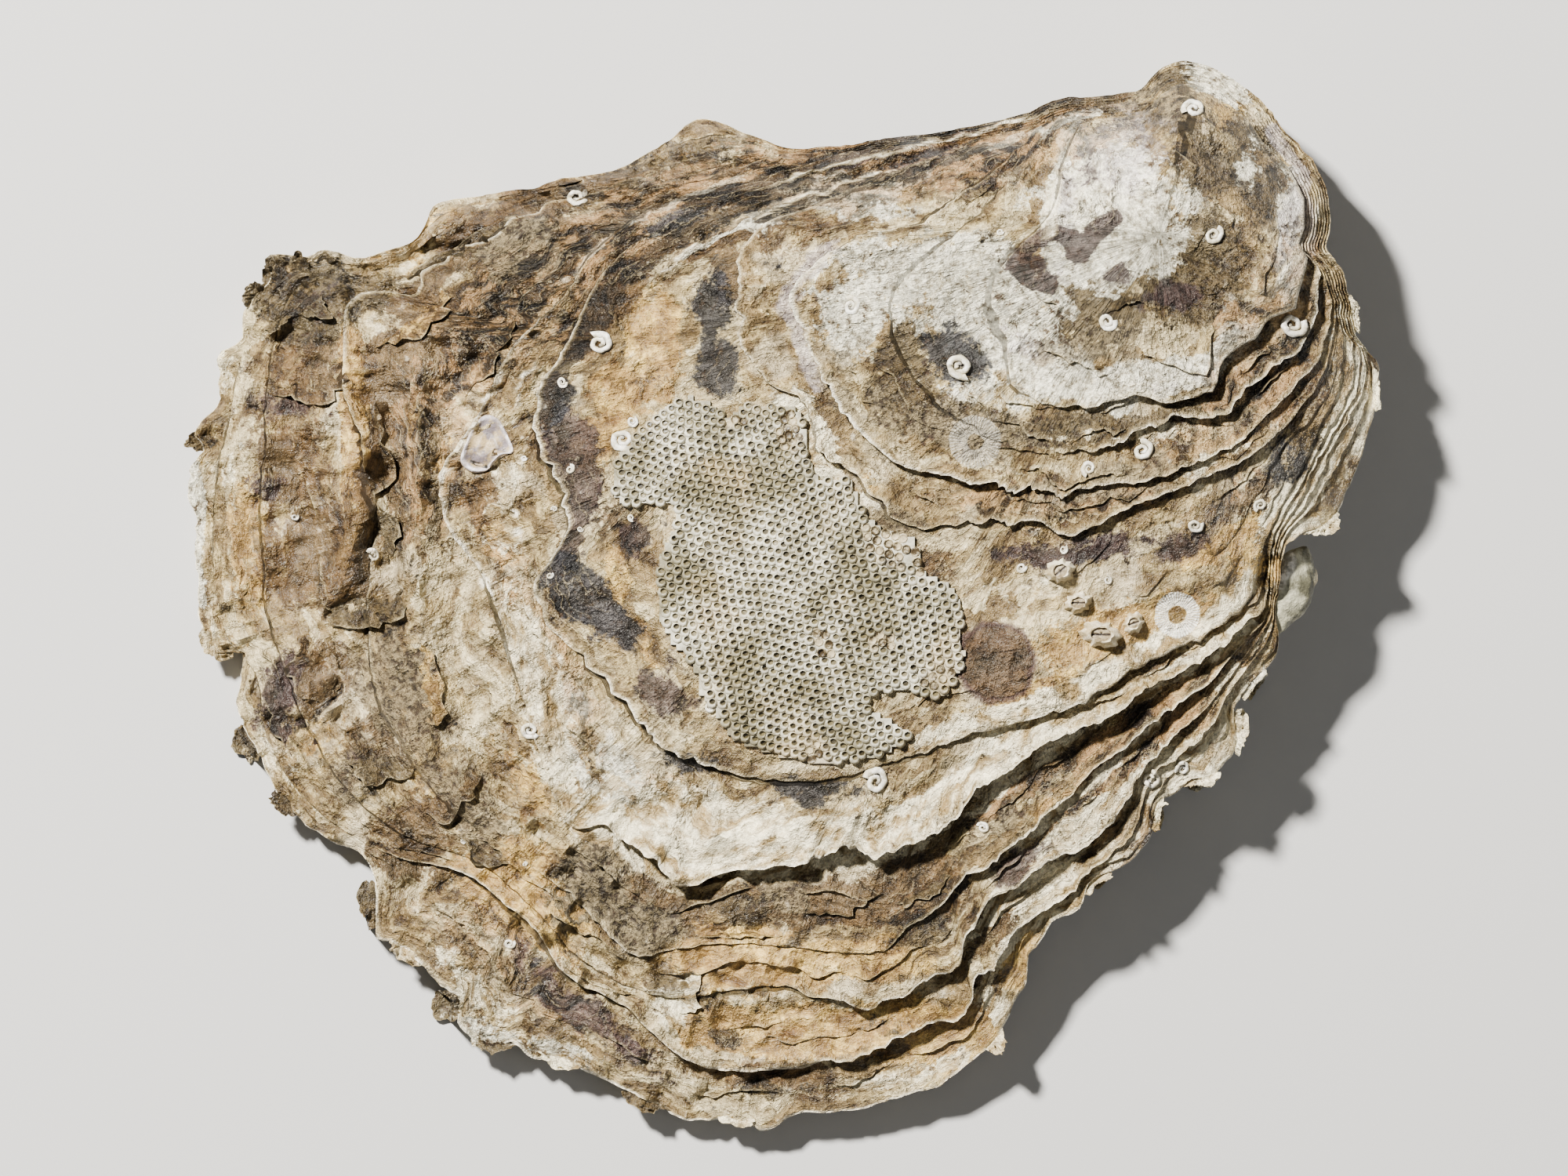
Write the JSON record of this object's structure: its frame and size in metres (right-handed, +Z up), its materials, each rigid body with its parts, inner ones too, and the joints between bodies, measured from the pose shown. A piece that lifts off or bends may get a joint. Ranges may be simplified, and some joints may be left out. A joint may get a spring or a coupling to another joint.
{
  "type": "fossil oyster shell",
  "caption": "Single cupped oyster valve lying outer side up, with ledged lamellae, a moss-animal crust, barnacles and coiled worm tubes.",
  "frame": {"origin": "middle of the shell's box in plan, on the surface that it rests on", "axes": "+Z up, out of the convex outer side; +X towards the hinge side's right margin, as the picture's right; +Y towards the beak, as the picture's top"},
  "size_m": [0.1055, 0.0948, 0.0208],
  "materials": {
    "shell": "satin, chalky in places, lamellar",
    "crust": "matte, chambered lime",
    "patch": "satin",
    "spat": "satin",
    "barnacle": "matte",
    "worm_lime": "matte"
  },
  "bodies": {
    "root": {"valve": "shell", "bryozoan_crust": "crust", "patch_shell": "patch", "spat_shell": "spat", "barnacle_1": "barnacle", "barnacle_2": "barnacle", "barnacle_3": "barnacle", "barnacle_4": "barnacle", "worm_tube_01": "worm_lime", "worm_tube_02": "worm_lime", "worm_tube_03": "worm_lime", "worm_tube_04": "worm_lime", "worm_tube_05": "worm_lime", "worm_tube_06": "worm_lime", "worm_tube_07": "worm_lime", "worm_tube_08": "worm_lime", "worm_tube_09": "worm_lime", "worm_tube_10": "worm_lime", "worm_tube_11": "worm_lime", "worm_tube_12": "worm_lime", "worm_tube_13": "worm_lime"}
  },
  "joints": []
}
